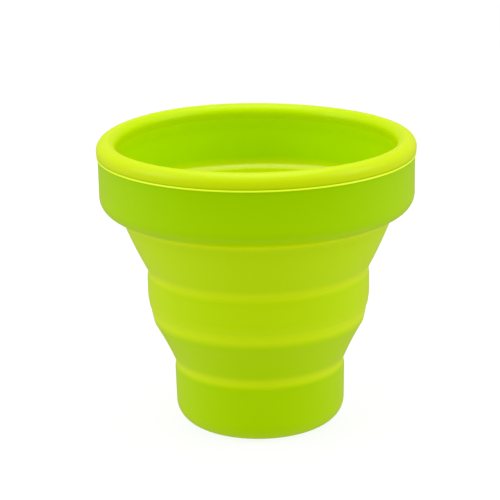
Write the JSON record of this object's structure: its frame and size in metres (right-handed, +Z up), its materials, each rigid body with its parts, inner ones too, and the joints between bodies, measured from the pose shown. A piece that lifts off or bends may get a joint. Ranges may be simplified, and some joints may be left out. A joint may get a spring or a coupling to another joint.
{
  "type": "collapsible canning funnel",
  "caption": "Collapsible silicone canning funnel: a thick collar with a rolled rim, a middle ring and an open spout, joined by thin webs that fold so the rings nest.",
  "frame": {"origin": "on the funnel's axis, at the foot of the spout, which the funnel stands on", "axes": "+Z up the funnel's axis, from the spout to the rim; the funnel is round, so +X and +Y are free"},
  "size_m": [0.105, 0.105, 0.0975],
  "materials": {
    "rim": "satin silicone, lime, brightest where it rounds over",
    "collar": "satin silicone, lime, deeper where the wall is thick",
    "fold": "satin silicone, lime, light along the fold",
    "web": "satin silicone, lime, thin wall",
    "ring": "satin silicone, lime",
    "spout": "satin silicone, lime"
  },
  "bodies": {
    "spout": {"spout_lip": "spout", "spout_sleeve": "spout", "spout_fold": "fold"},
    "middle": {"lower_web": "web", "middle_bottom_fold": "fold", "middle_ring": "ring", "middle_top_fold": "fold"},
    "collar": {"upper_web": "web", "shelf_fold": "fold", "collar_shelf": "collar", "collar_band": "collar", "rim_bead": "rim"}
  },
  "joints": [
    {"name": "lower_fold", "type": "slide", "parent": "spout", "child": "middle", "axis": [0, 0, -1], "range_m": [0, 0.0344], "deforming": ["lower_web"]},
    {"name": "upper_fold", "type": "slide", "parent": "middle", "child": "collar", "axis": [0, 0, -1], "range_m": [0, 0.0374], "deforming": ["upper_web"]}
  ]
}
